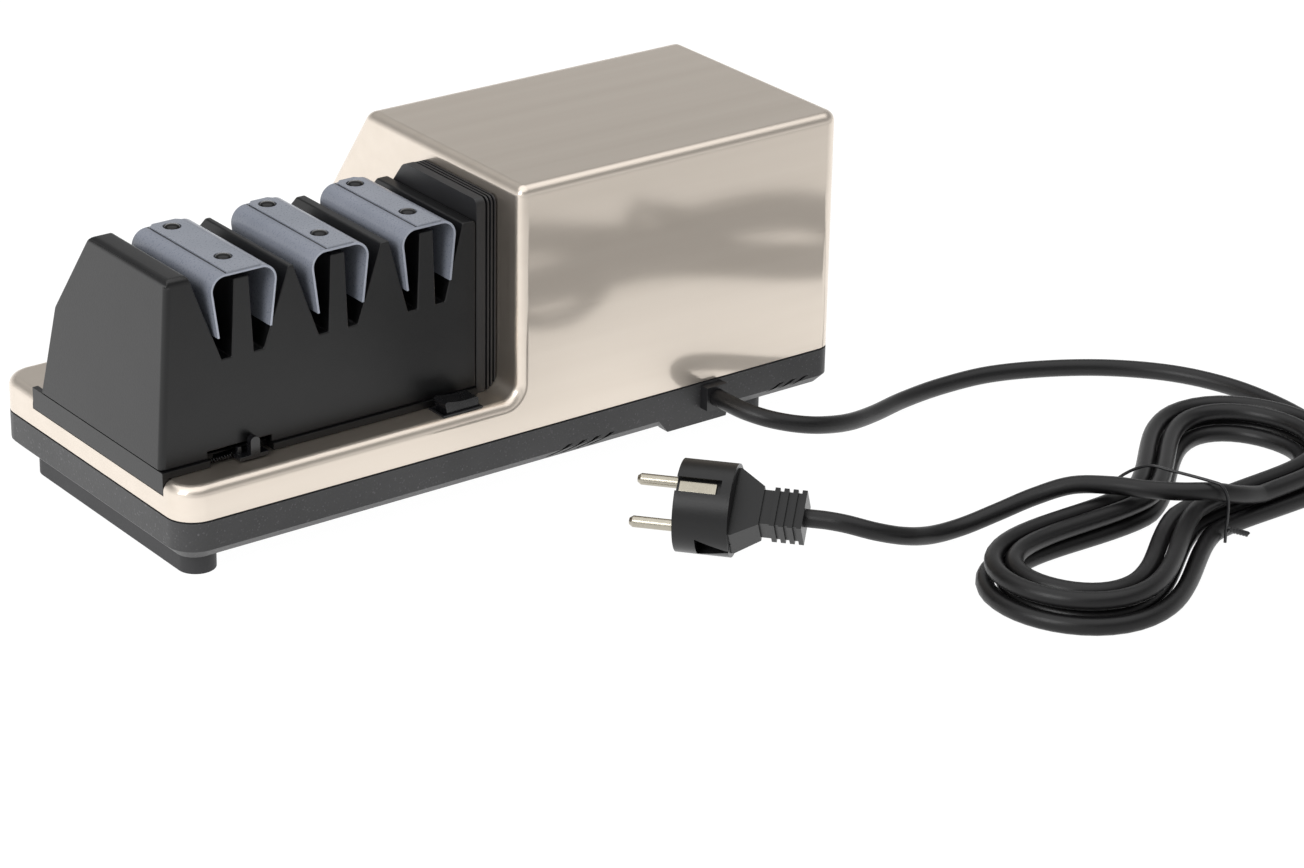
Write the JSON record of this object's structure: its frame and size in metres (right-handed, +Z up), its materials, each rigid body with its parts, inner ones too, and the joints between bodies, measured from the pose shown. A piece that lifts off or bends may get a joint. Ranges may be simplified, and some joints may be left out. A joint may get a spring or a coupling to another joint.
{
  "type": "electric knife sharpener",
  "caption": "Mains knife sharpener: steel-covered motor base, slide-off module with paired blade slots and spring guides, rocker switch, cord and round plug.",
  "frame": {"origin": "middle of the body's footprint, on the surface that the feet stand on", "axes": "+X from the module's free end to the motor box, +Y away from the side with the switch and cord, +Z up"},
  "size_m": [0.4757, 0.3821, 0.1325],
  "materials": {
    "brushed_nickel": "satin",
    "pan_plastic": "matte",
    "module_plastic": "satin",
    "black_plastic": "satin",
    "black_gloss": "gloss",
    "collar_rubber": "matte",
    "guide_steel": "satin",
    "strip_steel": "satin",
    "black_screw": "satin",
    "foot_rubber": "matte",
    "zinc": "satin",
    "cast_zinc": "satin",
    "lamination": "satin",
    "copper_wire": "satin",
    "bronze": "satin",
    "bright_steel": "gloss",
    "bright_nickel": "gloss",
    "abrasive": "matte",
    "pale_plastic": "satin",
    "wire_plastic": "satin",
    "cord_rubber": "matte",
    "tie_plastic": "satin",
    "plug_rubber": "satin"
  },
  "bodies": {
    "housing": {"base_pan": "pan_plastic", "foot_bar": "foot_rubber", "rear_feet": "foot_rubber", "foot_screws": "zinc", "cover": "brushed_nickel", "cover_screws": "zinc", "seam_gasket": "black_plastic", "module_rails": "zinc", "module_seal": "collar_rubber", "motor_bracket": "zinc", "motor_mounts": "foot_rubber", "bracket_screws": "zinc", "motor_stator": "lamination", "motor_coils": "copper_wire", "motor_end_bells": "cast_zinc", "motor_bearings": "bright_steel", "motor_bolts": "zinc", "run_capacitor": "pale_plastic", "terminal_block": "pale_plastic", "earth_stud": "zinc", "cable_inner": "cord_rubber", "cord_clamp": "zinc", "inner_wires": "wire_plastic", "switch_body": "black_plastic", "cord_gland": "black_plastic", "cord_lead": "cord_rubber", "cord_hank": "cord_rubber", "cord_tail": "cord_rubber", "cord_tie": "tie_plastic", "plug_body": "plug_rubber", "plug_pins": "bright_nickel", "plug_earth_clips": "bright_nickel"},
    "rotor": {"rotor_core": "lamination", "motor_shaft": "bright_steel", "cooling_fan": "black_plastic", "drive_coupling": "cast_zinc"},
    "rocker": {"switch_rocker": "black_gloss"},
    "module": {"module_case": "module_plastic", "module_base": "module_plastic", "base_screws": "zinc", "guide_1": "guide_steel", "guide_2": "guide_steel", "guide_3": "guide_steel", "guide_strips": "strip_steel", "guide_screws": "black_screw", "hone_bushes": "bronze", "latch_spring": "black_screw"},
    "latch": {"latch_button": "black_gloss"},
    "hone": {"hone_shaft": "bright_steel", "driven_coupling": "cast_zinc", "disc_springs": "bright_steel"},
    "disc_1a": {"disc_1a": "abrasive"},
    "disc_1b": {"disc_1b": "abrasive"},
    "disc_2a": {"disc_2a": "abrasive"},
    "disc_2b": {"disc_2b": "abrasive"},
    "disc_3a": {"disc_3a": "abrasive"},
    "disc_3b": {"disc_3b": "abrasive"}
  },
  "joints": [
    {"name": "rotor_spin", "type": "hinge", "parent": "housing", "child": "rotor", "pos_m": [0.05, -0.015, 0.074], "axis": [1, 0, 0], "continuous": true},
    {"name": "power_rocker", "type": "hinge", "parent": "housing", "child": "rocker", "pos_m": [-0.0284, -0.0644, 0.0404], "axis": [0, 1, 0], "range_deg": [-7, 0]},
    {"name": "module_slide", "type": "slide", "parent": "housing", "child": "module", "axis": [1, 0, 0], "range_m": [-0.03, 0]},
    {"name": "module_latch", "type": "slide", "parent": "module", "child": "latch", "axis": [1, 0, 0], "range_m": [-0.005, 0], "stiffness_N_per_m": 300, "springref_m": 0.002, "deforming": ["latch_spring"]},
    {"name": "hone_spin", "type": "hinge", "parent": "module", "child": "hone", "pos_m": [-0.08, -0.015, 0.074], "axis": [1, 0, 0], "continuous": true},
    {"name": "disc_1a_press", "type": "slide", "parent": "hone", "child": "disc_1a", "axis": [1, 0, 0], "range_m": [0, 0.001], "stiffness_N_per_m": 2000, "springref_m": -0.001},
    {"name": "disc_1b_press", "type": "slide", "parent": "hone", "child": "disc_1b", "axis": [1, 0, 0], "range_m": [-0.001, 0], "stiffness_N_per_m": 2000, "springref_m": 0.001},
    {"name": "disc_2a_press", "type": "slide", "parent": "hone", "child": "disc_2a", "axis": [1, 0, 0], "range_m": [0, 0.001], "stiffness_N_per_m": 2000, "springref_m": -0.001},
    {"name": "disc_2b_press", "type": "slide", "parent": "hone", "child": "disc_2b", "axis": [1, 0, 0], "range_m": [-0.001, 0], "stiffness_N_per_m": 2000, "springref_m": 0.001},
    {"name": "disc_3a_press", "type": "slide", "parent": "hone", "child": "disc_3a", "axis": [1, 0, 0], "range_m": [0, 0.001], "stiffness_N_per_m": 2000, "springref_m": -0.001},
    {"name": "disc_3b_press", "type": "slide", "parent": "hone", "child": "disc_3b", "axis": [1, 0, 0], "range_m": [-0.001, 0], "stiffness_N_per_m": 2000, "springref_m": 0.001}
  ],
  "couplings": [
    {"joint": "hone_spin", "follows": "rotor_spin", "ratio": 1}
  ]
}
